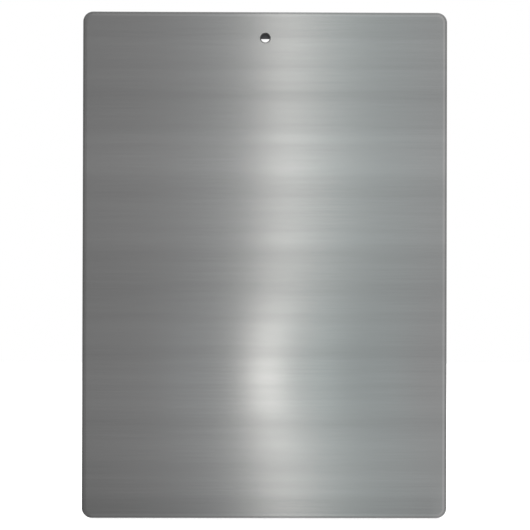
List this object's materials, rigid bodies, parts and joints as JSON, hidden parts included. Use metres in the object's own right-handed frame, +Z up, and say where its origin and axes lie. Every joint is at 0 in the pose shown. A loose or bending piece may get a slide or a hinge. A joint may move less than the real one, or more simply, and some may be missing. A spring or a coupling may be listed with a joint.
{
  "type": "clipboard",
  "caption": "Portrait clipboard: brushed-metal laminated board with rounded corners and a hanging hole, and on its front a low-profile sprung lever clip with a rubber-tipped jaw.",
  "frame": {"origin": "centre of the hanging hole, in the plane of the board's back face", "axes": "+Z up the board's long side, +Y the outward normal of the back face (the side in the picture), -Y out of the writing face, where the clip is, +X along the width"},
  "size_m": [0.2286, 0.0154, 0.3175],
  "materials": {
    "brushed_face": "horizontally brushed, satin",
    "core_plastic": "matte",
    "plated_steel": "bright nickel plate",
    "spring_steel": "drawn wire",
    "rivet_metal": "nickel plate",
    "grip_rubber": "matte black"
  },
  "bodies": {
    "board": {"back_panel": "brushed_face", "core_board": "core_plastic", "front_panel": "brushed_face", "clip_base_plate": "plated_steel", "hinge_pin": "plated_steel", "pin_push_nut": "spring_steel", "pin_spacer_tube": "plated_steel", "torsion_spring_left": "spring_steel", "torsion_spring_right": "spring_steel", "rivet_left": "rivet_metal", "rivet_right": "rivet_metal", "rivet_washer_left": "rivet_metal", "rivet_washer_right": "rivet_metal"},
    "lever": {"clip_lever": "plated_steel", "jaw_grip_left": "grip_rubber", "jaw_grip_right": "grip_rubber"}
  },
  "joints": [
    {"name": "lever_hinge", "type": "hinge", "parent": "board", "child": "lever", "pos_m": [0, -0.0082, -0.0097], "axis": [-1, 0, 0], "range_deg": [0, 27], "stiffness_Nm_per_rad": 0.35, "springref_deg": -40.11, "deforming": ["torsion_spring_left", "torsion_spring_right"]}
  ]
}
